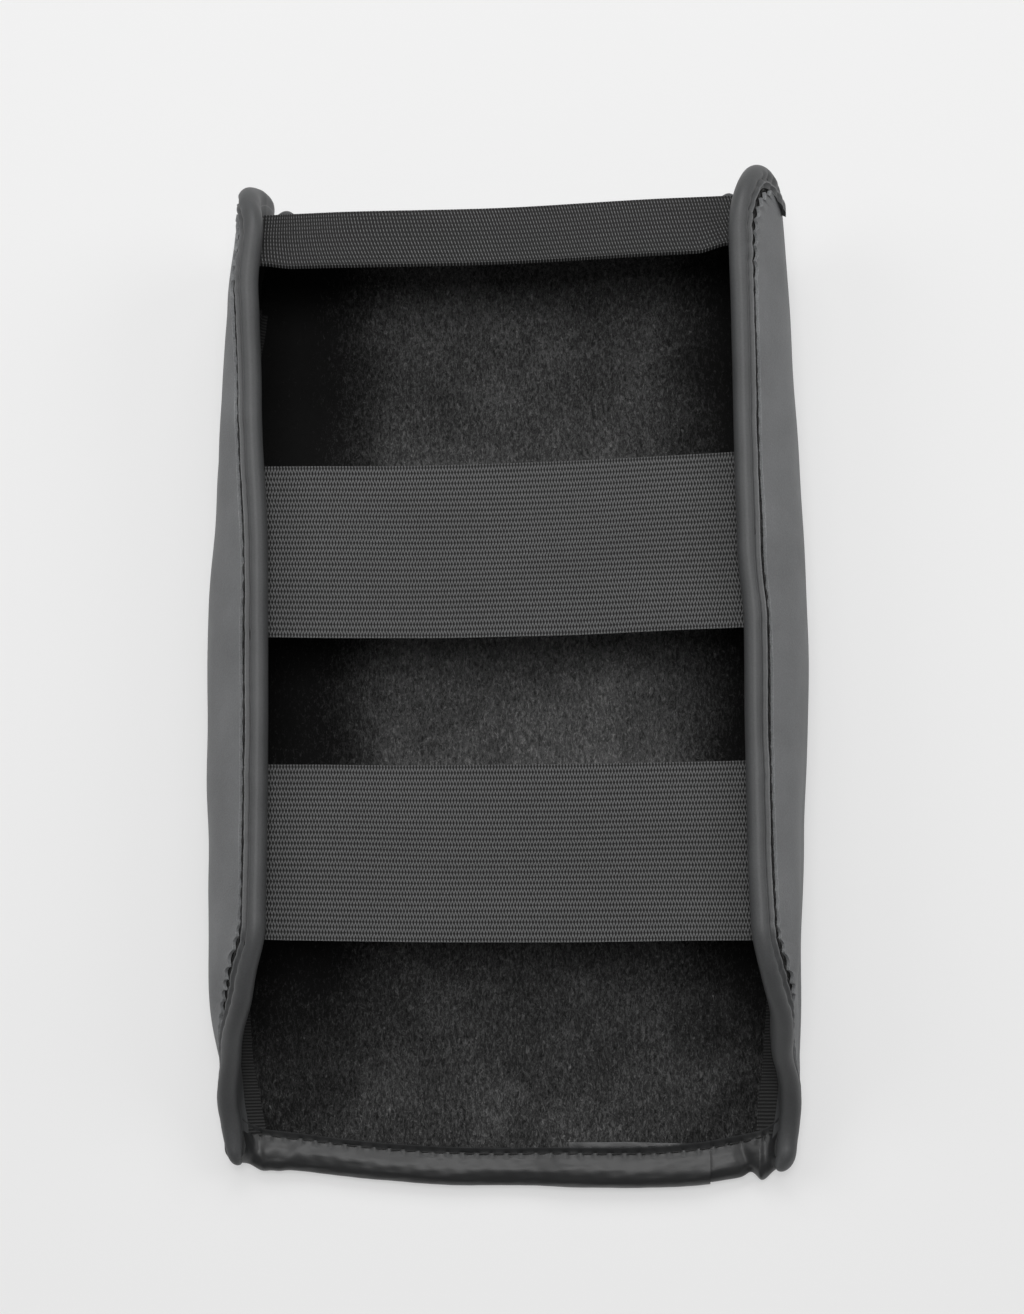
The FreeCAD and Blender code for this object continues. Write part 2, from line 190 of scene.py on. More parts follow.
def reach_at_height(y, height, depth):
    """The reach at which a wall's surface at one depth comes to a height."""
    sine = np.clip((height - CORNER_RADIUS) / (CORNER_RADIUS - depth), -1.0, 1.0)
    _, centre_z, radius = side_arc(y)
    upper = np.arcsin(np.clip((height - centre_z) / (radius - depth), -1.0, 1.0))
    return np.where(sine <= math.sin(CORNER_END), CORNER_RADIUS * (np.arcsin(sine) + math.pi / 2),
                    CORNER_REACH + radius * (upper - CORNER_END))


def toe_y(across):
    return TOE_EDGE + TOE_RADIUS - np.sqrt(TOE_RADIUS**2 - across**2)


def rim_path(step=1.0):
    """The free edge of a wall from toe corner to ear: y, reach, outward y and outward reach."""
    rise = RIM_REACH - TOE_REACH
    share = np.linspace(0.0, 1.0, round(80 / step))
    slope = rise * 6 * share * (1 - share) / TOE_RISE
    length = np.hypot(1.0, slope)
    start = [TOE_CORNER + TOE_RISE * share, TOE_REACH + rise * share**2 * (3 - 2 * share),
             -slope / length, 1.0 / length]
    y = np.linspace(TOE_CORNER + TOE_RISE, EAR_CENTRE, round(193 / step))[1:-1]
    middle = [y, np.full_like(y, RIM_REACH), np.zeros_like(y), np.ones_like(y)]
    turn = np.linspace(0.0, EAR_SWEEP, round(46 / step))
    ear = [EAR_CENTRE + EAR_RADIUS * np.sin(turn), RIM_REACH - EAR_RADIUS * (1 - np.cos(turn)),
           np.sin(turn), np.cos(turn)]
    return np.concatenate([start, middle, ear], axis=1)


def bound_path(step, down):
    """The rim path, begun with a turn down over the end of the toe binding."""
    turn = np.linspace(TUCK_SWEEP, 0.0, round(down * TUCK_SWEEP / step) + 1)[:-1]
    slope = np.hypot(down * np.sin(turn), TUCK_OUT * np.cos(turn))
    tuck = [TOE_CORNER - TUCK_OUT * np.sin(turn), TOE_REACH - down * (1 - np.cos(turn)),
            -down * np.sin(turn) / slope, TUCK_OUT * np.cos(turn) / slope]
    return np.concatenate([tuck, rim_path(step)], axis=1)


def run_length(path):
    """Distance along a path from its first station."""
    steps = np.hypot(np.diff(path[0]), np.diff(path[1]))
    return np.concatenate([[0.0], np.cumsum(steps)])


def keyed(value, keys):
    """A smooth curve through a few (place, amount) keys."""
    places, amounts = zip(*keys)
    value = np.asarray(value, float)
    result = np.full(value.shape, float(amounts[0]))
    for i in range(len(keys) - 1):
        result += (amounts[i + 1] - amounts[i]) * smoothstep(places[i], places[i + 1], value)
    return result


# the slack of each side at places along the cover, as (y, amount): how far its rim leans out, its wall
# bulges out, and its rim stands out where it comes down to the toe
LEAN_LEFT = ((-105, 0.0), (-75, -0.3), (-25, -0.8), (35, -0.8), (80, 0.9), (105, 1.3), (130, 3.2))
LEAN_RIGHT = ((-105, 0.0), (-75, 0.2), (-50, -0.3), (-20, -0.4), (12, -0.1), (35, -1.6), (62, -2.0),
              (120, -2.0), (143, -1.2))
BULGE_LEFT = ((-110, 0.0), (-87, 0.9), (-64, 0.2), (-35, 0.0), (10, 0.0), (88, -2.5), (116, -3.6),
              (140, -2.6))
BULGE_RIGHT = ((-125, -0.5), (-107, -3.6), (-85, -4.2), (-63, -3.2), (10, -0.4), (88, -0.7),
               (140, 0.0))
DROP_LEFT = ((-133, 1.4), (-124, 1.2), (-107, -1.7), (-96, -2.1), (-80, 0.0))
DROP_RIGHT = ((-130, 0.3), (-118, -0.5), (-94, -1.6), (-76, 0.0))
RIM_HEIGHT = ((-134, 11.0), (-73, 50.0))

# the left ear is pulled in and turned about a line along it, both ears stretch, the toe edge skews
EAR_PULL = -3.5
EAR_TWIST = 2.2
EAR_TWIST_HEIGHT = 47.0
EAR_STRETCH = 1.1
TOE_SKEW = -3.3


def relax(points):
    """The slack of sewn goods: rims lean, walls draw in, ears and toe corners slew a little."""
    x, y, z = points[..., 0], points[..., 1], points[..., 2]
    side = np.sign(x)
    right = x > 0
    share = np.abs(x) / 67.0
    outside = smoothstep(60.0, 76.0, np.abs(x))
    high = smoothstep(30.0, 46.0, z) * smoothstep(0.0, 50.0, np.abs(x))
    low = smoothstep(3.0, 14.0, z) * (1 - smoothstep(26.0, 42.0, z)) * outside
    rim = keyed(y, RIM_HEIGHT)
    near_rim = smoothstep(rim - 16.0, rim - 3.0, z) * outside
    ear = EAR_PULL * smoothstep(110.0, 134.0, y) * smoothstep(8.0, 30.0, z) * smoothstep(40.0, 66.0, -x)
    lean = np.where(right, keyed(y, LEAN_RIGHT), keyed(y, LEAN_LEFT))
    bulge = np.where(right, keyed(y, BULGE_RIGHT), keyed(y, BULGE_LEFT))
    drop = np.where(right, keyed(y, DROP_RIGHT), keyed(y, DROP_LEFT))
    corner = smoothstep(60.0, 80.0, np.abs(x)) * (1 - smoothstep(-136.0, -112.0, y))
    pull = np.where(right, -2.0, -1.0) * corner
    twist = EAR_TWIST * np.clip((z - EAR_TWIST_HEIGHT) / 9.0, -1.0, 0.3)
    twist = twist * smoothstep(85.0, 116.0, y) * smoothstep(60.0, 70.0, -x)
    new_x = x + side * (lean * high + bulge * low + drop * near_rim + ear + pull + twist)
    slew = 0.0125 * (y - 12.0) * side * share * smoothstep(-170.0, -60.0, y)
    lift = slew * smoothstep(6.0, 40.0, z) + EAR_STRETCH * smoothstep(100.0, 140.0, y) * high
    skew = TOE_SKEW * smoothstep(5.0, 60.0, x) * (1 - 0.5 * smoothstep(74.0, 86.0, x))
    toe = (skew + np.where(right, -0.6, -1.2) * corner) * (1 - smoothstep(-140.0, -116.0, y))
    return np.stack([new_x, y + lift + toe, z], -1)


# ------------------------------------------------------------------ meshes

def volume(verts, faces):
    a, b, c, d = (verts[faces[:, i]] for i in range(4))
    twice = np.cross(a, b) * c + np.cross(a, c) * d
    return twice.sum() / 6


def sheet_mesh(near, far, uv):
    """Vertices, quads and uvs of the closed sheet between two grids of points."""
    rows, columns = near.shape[:2]
    index = np.arange(rows * columns).reshape(rows, columns)
    verts = np.concatenate([near.reshape(-1, 3), far.reshape(-1, 3)])
    skin = np.stack([index[:-1, :-1], index[:-1, 1:], index[1:, 1:], index[1:, :-1]], -1).reshape(-1, 4)
    edge = np.concatenate([index[0, :-1], index[:-1, -1], index[-1, :0:-1], index[:0:-1, 0]])
    after = np.roll(edge, -1)
    count = rows * columns
    wall_faces = np.stack([after, edge, edge + count, after + count], -1)
    faces = np.concatenate([skin, skin[:, ::-1] + count, wall_faces])
    if volume(verts, faces) < 0:
        faces = faces[:, ::-1]
    return verts, faces, np.concatenate([uv.reshape(-1, 2)] * 2)


def make_object(name, verts, faces, material):
    """A smooth shaded mesh object, from vertices in millimetres."""
    mesh = bpy.data.meshes.new(name)
    mesh.from_pydata((verts * MM).tolist(), [], faces)
    mesh.polygons.foreach_set("use_smooth", [True] * len(mesh.polygons))
    mesh.materials.append(material)
    piece = bpy.data.objects.new(name, mesh)
    bpy.context.scene.collection.objects.link(piece)
    return piece


def make_sheet(name, near, far, material, uv):
    """A closed, relaxed sheet with its cloth uv and its edges kept sharp."""
    verts, faces, flat_uv = sheet_mesh(relax(near), relax(far), uv)
    piece = make_object(name, verts, faces.tolist(), material)
    layer = piece.data.uv_layers.new(name="cloth")
    layer.data.foreach_set("uv", flat_uv[faces.reshape(-1)].astype(np.float32).reshape(-1))
    piece.data.set_sharp_from_angle(angle=SHARP_EDGE)
    return piece


def add_sheet(name, near, far, node, material, uv):
    """A sheet that rides on the cover and stands for a CAD node."""
    piece = make_sheet(name, near, far, material, uv)
    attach(piece, COVER)
    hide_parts(node)


def grid_uv(lengths, widths):
    """A uv for each point of a grid, in millimetres along and across the cloth."""
    return np.stack(np.meshgrid(lengths, widths, indexing="ij"), -1)


# ------------------------------------------------------------------ materials

class Nodes:
    """A material under construction, with short ways to add and join its nodes."""

    def __init__(self, name):
        self.material = bpy.data.materials.new(name)
        self.material.use_nodes = True
        self.tree = self.material.node_tree
        self.shader = self.tree.nodes["Principled BSDF"]

    def add(self, kind, inputs=None, **settings):
        node = self.tree.nodes.new(kind)
        for key, value in settings.items():
            setattr(node, key, value)
        for key, value in (inputs or {}).items():
            self.feed(node.inputs[key], value)
        return node

    def feed(self, socket, value):
        if isinstance(value, bpy.types.NodeSocket):
            self.tree.links.new(value, socket)
        else:
            socket.default_value = value

    def maths(self, operation, *values):
        node = self.add("ShaderNodeMath", operation=operation)
        for socket, value in zip(node.inputs, values):
            self.feed(socket, value)
        return node.outputs[0]

    def map_range(self, value, start, end, first, last, **settings):
        """first where value is start, last where it is end, and between them in between."""
        limits = {"Value": value, "From Min": start, "From Max": end, "To Min": first, "To Max": last}
        return self.add("ShaderNodeMapRange", limits, **settings).outputs[0]

    def object_point(self, scale=(1.0, 1.0, 1.0)):
        """Object coordinates in millimetres, stretched by scale."""
        point = self.add("ShaderNodeTexCoord").outputs["Object"]
        node = self.add("ShaderNodeMapping", {"Vector": point})
        node.inputs["Scale"].default_value = [s / MM for s in scale]
        return node.outputs[0]

    def cloth_point(self):
        """The (along, across) uv of the piece in millimetres, as two sockets."""
        uv = self.add("ShaderNodeUVMap", uv_map="cloth").outputs[0]
        split = self.add("ShaderNodeSeparateXYZ", {"Vector": uv})
        return split.outputs[0], split.outputs[1]

    def noise(self, point, scale, detail=3.0, rough=0.55):
        node = self.add("ShaderNodeTexNoise", {"Vector": point, "Scale": scale, "Detail": detail,
                                               "Roughness": rough})
        return node.outputs[0]

    def ramp(self, factor, stops):
        node = self.add("ShaderNodeValToRGB", {"Fac": factor})
        elements = node.color_ramp.elements
        while len(elements) < len(stops):
            elements.new(0.5)
        for element, (place, color) in zip(elements, stops):
            element.position = place
            element.color = (*color, 1.0)
        return node.outputs[0]

    def bump(self, height, distance):
        inputs = {"Height": height, "Distance": distance * MM, "Strength": 1.0}
        return self.add("ShaderNodeBump", inputs).outputs[0]

    def finish(self, color, roughness, normal=None, **uniform):
        self.feed(self.shader.inputs["Base Color"], color)
        self.feed(self.shader.inputs["Roughness"], roughness)
        if normal is not None:
            self.feed(self.shader.inputs["Normal"], normal)
        for key, value in uniform.items():
            self.shader.inputs[key.replace("_", " ")].default_value = value
        return self.material


def grey(value, warm=0.0):
    return (value * (1 + warm), value, value * (1 - warm))


def leather_material(name, dark, light, grain_mm, rough, grain_depth, edge):
    """Imitation leather: rounded pebbles, soft mottling, an uneven sheen and a painted highlight along
    one edge.

    edge is the place of the painted highlight line across the cloth, its half width, and how much paler
    it is.
    """
    m = Nodes(name)
    point = m.object_point()
    cells = m.add("ShaderNodeTexVoronoi", {"Vector": point, "Scale": 1.0 / grain_mm, "Randomness": 0.9},
                  feature="SMOOTH_F1")
    fine = m.noise(point, 2.0, 4.0, 0.7)
    broad = m.noise(point, 0.045, 3.0)
    pebbles = m.maths("MULTIPLY", cells.outputs["Distance"], -1.0)
    height = m.maths("MULTIPLY_ADD", fine, 0.35, pebbles)
    tone = m.maths("ADD", m.maths("MULTIPLY", broad, 0.45), m.maths("MULTIPLY", fine, 0.55))
    # painted highlight: a paler line along the edge or lip, where it catches the light
    place, half_width, amount = edge
    across = m.cloth_point()[1]
    away = m.maths("ABSOLUTE", m.maths("SUBTRACT", across, place))
    tone = m.maths("ADD", tone, m.map_range(away, half_width, 0.0, 0.0, amount))
    color = m.ramp(tone, [(0.35, grey(dark, -0.025)), (0.65, grey(light, -0.025)),
                          (1.0, grey(2.2 * light, -0.02))])
    roughness = m.maths("ADD", m.maths("MULTIPLY", fine, 0.16), rough - 0.08)
    return m.finish(color, roughness, m.bump(height, grain_depth), Specular_IOR_Level=0.45)


def felt_material():
    """Needle felt: short matted fibres lying in every direction, with painted shade near the side seams
    and towards the toe, and painted light down the middle.
    """
    m = Nodes("felt")
    point = m.object_point()
    patches = m.noise(point, 0.055, 2.0)
    layers = []
    for turn, stretch in ((0.3, (1.7, 0.6, 1.2)), (1.5, (1.6, 0.7, 1.2)), (2.5, (1.3, 0.8, 1.0))):
        mapped = m.add("ShaderNodeMapping", {"Vector": point})
        mapped.inputs["Scale"].default_value = stretch
        mapped.inputs["Rotation"].default_value = (0.0, 0.0, turn)
        layer = m.add("ShaderNodeTexNoise", {"Vector": mapped.outputs[0], "Scale": 0.8, "Detail": 4.0,
                                             "Roughness": 0.75, "Distortion": 0.8})
        layers.append(layer.outputs[0])
    matted = m.maths("MAXIMUM", m.maths("MAXIMUM", layers[0], layers[1]), layers[2])
    split = m.add("ShaderNodeSeparateXYZ", {"Vector": point})
    # painted shade: the felt is darkened towards the side seams, where the walls shade it, less so near
    # the toe
    aside = m.maths("ABSOLUTE", m.maths("SUBTRACT", split.outputs[0], 6.0))
    edge = m.map_range(aside, 34.0, 72.0, 0.0, 0.25, interpolation_type="SMOOTHSTEP")
    inner = m.map_range(split.outputs[1], -110.0, -60.0, 0.3, 1.0)
    edge = m.maths("MULTIPLY", edge, inner)
    # painted light: the felt is made paler down the middle of the cover
    from_middle = m.maths("ABSOLUTE", split.outputs[1])
    painted_middle_light = m.map_range(from_middle, 25.0, 75.0, 0.05, 0.0)
    # painted shade at the toe end, and a little painted light over the rest
    shaded = m.map_range(split.outputs[1], -110.0, -60.0, -0.013, 0.015)
    tone = m.maths("ADD", matted, m.maths("MULTIPLY", m.maths("SUBTRACT", patches, 0.5), 0.16))
    tone = m.maths("ADD", m.maths("SUBTRACT", tone, edge), m.maths("ADD", painted_middle_light, shaded))
    color = m.ramp(tone, [(0.42, grey(0.008)), (0.54, grey(0.038)), (0.66, grey(0.110)),
                          (0.80, grey(0.28, 0.01))])
    return m.finish(color, 0.95, m.bump(matted, 0.7), Specular_IOR_Level=0.12)


def elastic_material(name, single):
    """Knitted elastic: slanted stitches over round ribs, with painted shade in the grooves between
    them.

    single fades out the stitches that lean the other way.
    """
    m = Nodes(name)
    along, across = m.cloth_point()
    turn = m.maths("DIVIDE", along, STITCH_LENGTH)
    half = m.maths("MULTIPLY", across, 0.5)
    nets = []
    for operation, strength in (("ADD", 0.5), ("SUBTRACT", 0.5 * (1 - single))):
        slanted = m.maths(operation, turn, half)
        wave = m.maths("COSINE", m.maths("MULTIPLY", slanted, 2 * math.pi))
        nets.append(m.maths("MULTIPLY_ADD", wave, strength, strength))
    net = m.maths("POWER", m.maths("MAXIMUM", nets[0], nets[1]), 2.8)
    # painted shade: the colour is darker towards the grooves between the ribs
    crown = m.maths("ABSOLUTE", m.maths("SINE", m.maths("MULTIPLY", across, math.pi)))
    drawn = m.noise(m.object_point((0.35, 1.0, 1.0)), 0.07, 2.0)
    ditch = 0.62 - 0.5 * single
    rounded = m.maths("POWER", crown, m.maths("MULTIPLY", drawn, 2.0))
    ribbed = m.maths("MULTIPLY_ADD", rounded, 1 - ditch, ditch)
    yarn = m.maths("MULTIPLY", net, ribbed)
    fuzz = m.noise(m.object_point(), 2.2, 3.0, 0.7)
    tone = m.maths("ADD", m.maths("MULTIPLY", yarn, 0.8), m.maths("MULTIPLY", fuzz, 0.3))
    color = m.ramp(tone, [(0.12, grey(0.006)), (0.5, grey(0.036)), (1.0, grey(0.21, -0.01))])
    return m.finish(color, 0.78, m.bump(yarn, 0.25), Specular_IOR_Level=0.3)


def grosgrain_material():
    """Ribbed tape: close ribs across its width, each crossed by the warp."""
    m = Nodes("grosgrain")
    along, across = m.cloth_point()
    rib = m.maths("ABSOLUTE", m.maths("SINE", m.maths("MULTIPLY", along, math.pi / TAPE_RIB)))
    warp = m.maths("ABSOLUTE", m.maths("SINE", m.maths("MULTIPLY", across, math.pi / 0.55)))
    weave = m.maths("MULTIPLY", rib, m.maths("ADD", m.maths("MULTIPLY", warp, 0.4), 0.6))
    fuzz = m.noise(m.object_point(), 3.0, 2.0, 0.6)
    tone = m.maths("ADD", m.maths("MULTIPLY", weave, 0.8), m.maths("MULTIPLY", fuzz, 0.2))
    color = m.ramp(tone, [(0.1, grey(0.006)), (0.6, grey(0.02)), (0.95, grey(0.06))])
    return m.finish(color, 0.8, m.bump(tone, 0.3), Specular_IOR_Level=0.3)


def foam_material():
    """Open foam: small round cells."""
    m = Nodes("foam")
    point = m.object_point()
    cells = m.add("ShaderNodeTexVoronoi", {"Vector": point, "Scale": 1.6}).outputs["Distance"]
    color = m.ramp(cells, [(0.05, grey(0.006)), (0.6, grey(0.03))])
    return m.finish(color, 0.95, m.bump(cells, 0.3), Specular_IOR_Level=0.1)


def thread_material():
    """Twisted sewing thread."""
    m = Nodes("thread")
    twist = m.add("ShaderNodeTexWave", {"Vector": m.object_point(), "Scale": 1.1, "Distortion": 1.5})
    color = m.ramp(twist.outputs["Fac"], [(0.2, grey(0.006)), (0.8, grey(0.03))])
    return m.finish(color, 0.6, m.bump(twist.outputs["Fac"], 0.08), Specular_IOR_Level=0.4)


def floor_material():
    """A light table: a pale matt sheet that also glows a little, so shadows on it stay faint."""
    m = Nodes("floor")
    return m.finish((0.40, 0.40, 0.40, 1.0), 0.9, Specular_IOR_Level=0.0,
                    Emission_Color=(1.0, 1.0, 1.0, 1.0), Emission_Strength=0.43)


# the last entry of each places its painted highlight: the free edge of the side walls, the lip of the
# rim binding's flap, the inner edge of the toe binding
wall_leather = leather_material("wall_leather", 0.098, 0.162, 0.42, 0.62, 0.09, (0.0, 0.5, 0.25))
rim_leather = leather_material("rim_leather", 0.043, 0.068, 0.34, 0.48, 0.035, (-LIP, 0.3, 0.4))
# painted shade: the rim binding's leather made darker for the toe binding, which faces away from the
# lights
shaded_toe_leather = leather_material("shaded_toe_leather", 0.012, 0.019, 0.30, 0.42, 0.012, (-FLAP_IN, 0.5, 0.4))
felt = felt_material()
strap_elastic = elastic_material("strap_elastic", 0.0)
band_elastic = elastic_material("band_elastic", 0.8)
grosgrain = grosgrain_material()
foam = foam_material()
thread = thread_material()


# ------------------------------------------------------------------ laminate

def waver(a, b, wave, seed):
    """Gentle seeded unevenness between -1 and 1, with the given wavelength."""
    total = np.zeros(np.broadcast(a, b).shape)
    rng = np.random.default_rng(seed)
    for _ in range(6):
        angle, phase = rng.uniform(0, 2 * math.pi, 2)
        size = rng.uniform(0.6, 1.6) * 2 * math.pi / wave
        total += np.sin(size * (a * math.cos(angle) + b * math.sin(angle)) + phase)
    return total / 6


def pucker_strength(side, path):
    """How strongly the thread gathers the edge at each station of a rim."""
    y = path[0]
    lower = hump(-88.0, 17.0, y) * 0.8
    ear = smoothstep(98.0, 122.0, y) * (1.0 if side > 0 else 0.7)
    return 0.12 + lower + ear


def scallop(length):
    """Pointed waves between stitches, 0 at each stitch and 1 midway, unevenly spaced."""
    uneven = length + 0.8 * np.sin(length / 7.3) + 0.5 * np.sin(length / 3.1 + 1.0)
    return np.abs(np.sin(math.pi * uneven / RIM_STITCH_PITCH)) ** 0.8


def wall_sheet(name, side, depths, set_back, node, material, step=1.6):
    """One layer of a side wall, between the seam and its free edge; gathered where it is set back."""
    path = rim_path(step)
    y, reach, out_y, out_reach = path
    length = run_length(path)
    toe = toe_y(seam_x(TOE_EDGE))
    straight = out_y <= 0
    straight[np.nonzero(straight)[0][-1]] = False
    turns = np.linspace(0.0, math.pi / 2, (~straight).sum())
    edge = np.full_like(y, set_back)
    if set_back > 0:
        edge += 1.4 * pucker_strength(side, path) * scallop(length)
    share = np.linspace(0.0, 1.0, 44)[None, :]
    share = share * (1.35 - 0.35 * share)
    grids = []
    for depth in depths:
        base_y = toe + (y - TOE_CORNER) * (BEND_START - toe) / (EAR_CENTRE - TOE_CORNER)
        base_reach = np.zeros_like(y)
        bend = end_wall(0.0, BEND_RADIUS * turns, depth)
        base_y[~straight] = bend[:, 1]
        base_reach[~straight] = reach_at_height(bend[:, 1], bend[:, 2], depth)
        top_y = y - edge * out_y
        top_reach = reach - edge * out_reach
        grid_y = base_y[:, None] * (1 - share) + top_y[:, None] * share
        grid_reach = base_reach[:, None] * (1 - share) + top_reach[:, None] * share
        grid_y = grid_y + set_back * hump(0.0, 2.0, length)[:, None]
        away = (top_reach - grid_reach.T).T
        soft = 0.35 * waver(grid_y, grid_reach, 46.0, 5 + int(side))
        gathers = pucker_strength(side, path) * scallop(length)
        bead = 0.25 * gathers[:, None] * hump(0.0, 3.0, away) + 0.22 * hump(0.4, 0.5, away)
        soft = soft + bead * (set_back > 0)
        settle = smoothstep(1.0, 9.0, grid_reach)
        grids.append(wall(side, grid_y, grid_reach, depth - soft * settle))
    uv = np.stack(np.broadcast_arrays(length[:, None], away), -1)
    add_sheet(name, grids[0], grids[1], node, material, uv)


def panel_grid(depth, set_back):
    """The face panel at one depth: flat, round the bend, and up the end wall."""
    across = np.linspace(-1.0, 1.0, 110)
    step = np.linspace(0.0, 1.0, 150)[:-1, None]
    start = toe_y(across * seam_x(TOE_EDGE)) + set_back
    flat_y = start[None, :] + (BEND_START - start[None, :]) * step
    flat = np.stack([across * seam_x(flat_y), flat_y, np.full_like(flat_y, depth)], -1)
    turns = np.linspace(0.0, math.pi / 2, 26)
    bend = end_wall(0.0, BEND_RADIUS * turns, depth)
    reach = reach_at_height(bend[:, 1], bend[:, 2], depth)
    half = wall(1.0, bend[:, 1], reach, depth)[:, 0]
    bent = end_wall(half[:, None] * across, BEND_RADIUS * turns[:, None], depth)
    along = np.linspace(BEND_RADIUS * math.pi / 2, END_WALL_TOP - set_back, 5)[1:]
    width = half[-1] + (END_WALL_HALF - half[-1]) * (along - along[0]) / (along[-1] - along[0])
    upright = end_wall(width[:, None] * across, along[:, None], depth)
    return np.concatenate([flat, bent, upright])


def panel_sheet(name, depths, set_back, node, material, rough=0.0):
    """One layer of the face panel. rough raises the inner face as felt does."""
    near = panel_grid(depths[0], set_back)
    far = panel_grid(depths[1], set_back)
    if rough:
        x, y = far[..., 0], far[..., 1]
        rise = 0.5 * waver(x, y, 60.0, 11) + 0.22 * waver(x, y, 5.0, 12) + 0.14 * waver(x, y, 2.6, 13)
        crease = hump(49.0 + 0.02 * y, 0.9, x) * hump(-5.0, 28.0, y)
        crease = crease + hump(-53.0 + 2.0 * np.sin(y / 9.0), 1.1, x) * hump(85.0, 22.0, y)
        crease = crease + 0.7 * hump(8.0 + 1.5 * np.sin(y / 7.0), 1.0, x) * hump(88.0, 12.0, y)
        inside = 1 - smoothstep(60.0, 70.0, np.abs(x))
        flat_part = 1 - smoothstep(100.0, 118.0, y)
        far[..., 2] += (rise * rough - 0.5 * crease) * inside * flat_part
    add_sheet(name, near, far, node, material, near[..., :2])


def build_laminate():
    set_back = FLAP_OUT + 0.9
    outer = (0.0, LEATHER)
    middle = (LEATHER, LEATHER + FOAM)
    inner = (LEATHER + FOAM, LAMINATE)
    panel_sheet("face_leather", outer, set_back, "face_panel_leather", wall_leather)
    panel_sheet("face_foam", middle, 0.0, "face_panel_foam", foam)
    panel_sheet("face_felt", inner, 0.0, "face_panel_felt", felt, rough=0.9)
    for name, side in (("left", -1.0), ("right", 1.0)):
        wall_sheet(name + "_side_leather", side, outer, set_back, name + "_wall_leather",
                   wall_leather, step=0.7)
        wall_sheet(name + "_side_foam", side, middle, 0.0, name + "_wall_foam", foam)
        wall_sheet(name + "_side_lining", side, inner, 0.0, name + "_wall_lining", felt)


# ------------------------------------------------------------------ bindings

def binding_profile(radius, count=15):
    """The binding's section at one radius: distances beyond the edge, and depths."""
    middle = BOUND / 2
    outer = np.linspace(-FLAP_OUT, 0.0, 17)[:-1]
    turn = np.linspace(0.0, math.pi, count)
    inner = np.linspace(0.0, -FLAP_IN, 12)[1:]
    beyond = np.concatenate([outer, radius * np.sin(turn), inner])
    depth = np.concatenate([np.full(outer.size, middle - radius), middle - radius * np.cos(turn),
                            np.full(inner.size, middle + radius)])
    return beyond, depth


def rim_binding(name, side):
    """The rolled binding of a rim: nipped in by its stitching, tucked in at the toe, round the ear."""
    path = bound_path(0.6, TUCK_DOWN_RIGHT if side > 0 else TUCK_DOWN_LEFT)
    y, reach, out_y, out_reach = (v[:, None] for v in path)
    length = run_length(path)
    strength = pucker_strength(side, path)[:, None]
    waves = scallop(length)[:, None]
    wrap = smoothstep(length[-1] - 22.0, length[-1] - 6.0, length)[:, None]
    closing = 5.0 if side > 0 else 12.0
    pinch = 0.1 + 0.9 * np.sqrt(smoothstep(-0.3 * closing, closing, length))[:, None]
    lipped = 1 - wrap
    grids = []
    for radius in (BOUND / 2, BOUND / 2 - BINDING):
        beyond, depth = (v[None, :] for v in binding_profile(radius))
        outer = smoothstep(BOUND / 2, 0.2, depth) * smoothstep(1.6, -0.4, beyond)
        widen = np.where(beyond < 0, 1 + 1.3 * wrap * outer, 1.0)
        reach_out = beyond * widen
        dent = 0.75 * hump(-0.9, 0.75, beyond) * outer
        lip = -0.35 * hump(-LIP, 0.35, beyond) * outer * lipped
        floor = 0.75 * smoothstep(-LIP - 0.15, -LIP - 0.5, beyond) * outer * lipped
        lift = -1.15 * wrap * outer * smoothstep(-1.2, -4.0, reach_out)
        gather = -0.35 * strength * (waves - 0.5) * outer
        soft = 0.25 * waver(y, reach, 22.0, 31) + 0.1 * waver(y, reach, 6.0, 32)
        swell = 1 + 0.06 * waver(y, reach, 30.0, 33) * (beyond > 0)
        shift = dent + lip + floor + lift + gather + soft * outer
        end_y = y + reach_out * swell * pinch * out_y
        end_reach = reach + reach_out * swell * pinch * out_reach
        pinched = BOUND / 2 + (depth + shift - BOUND / 2) * pinch
        grids.append(wall(side, end_y, end_reach, pinched))
    across = np.stack(np.broadcast_arrays(length[:, None], binding_profile(BOUND / 2)[0]), -1)
    add_sheet(name + "_binding", grids[0], grids[1], name + "_rim_binding",
              rim_leather, across)


def toe_stitches(first, last):
    """Where the toe's stitches begin, across the cover."""
    return np.arange(first, last, STITCH_PITCH)


def toe_folds(across, beyond):
    """Folds where the toe binding turns up each wall: on the right, a valley and a pointed bump."""
    right = 1.9 * hump(73.7 + 0.2 * beyond, 3.6, across) - 1.5 * hump(68.8 + 0.4 * beyond, 2.2, across)
    left = 0.9 * hump(73.0 + 0.5 * beyond, 3.4, -across) - 0.4 * hump(79.0 + 0.3 * beyond, 2.8, -across)
    return right + left + 0.4 * hump(66.5 + 0.9 * beyond, 2.0, -across)


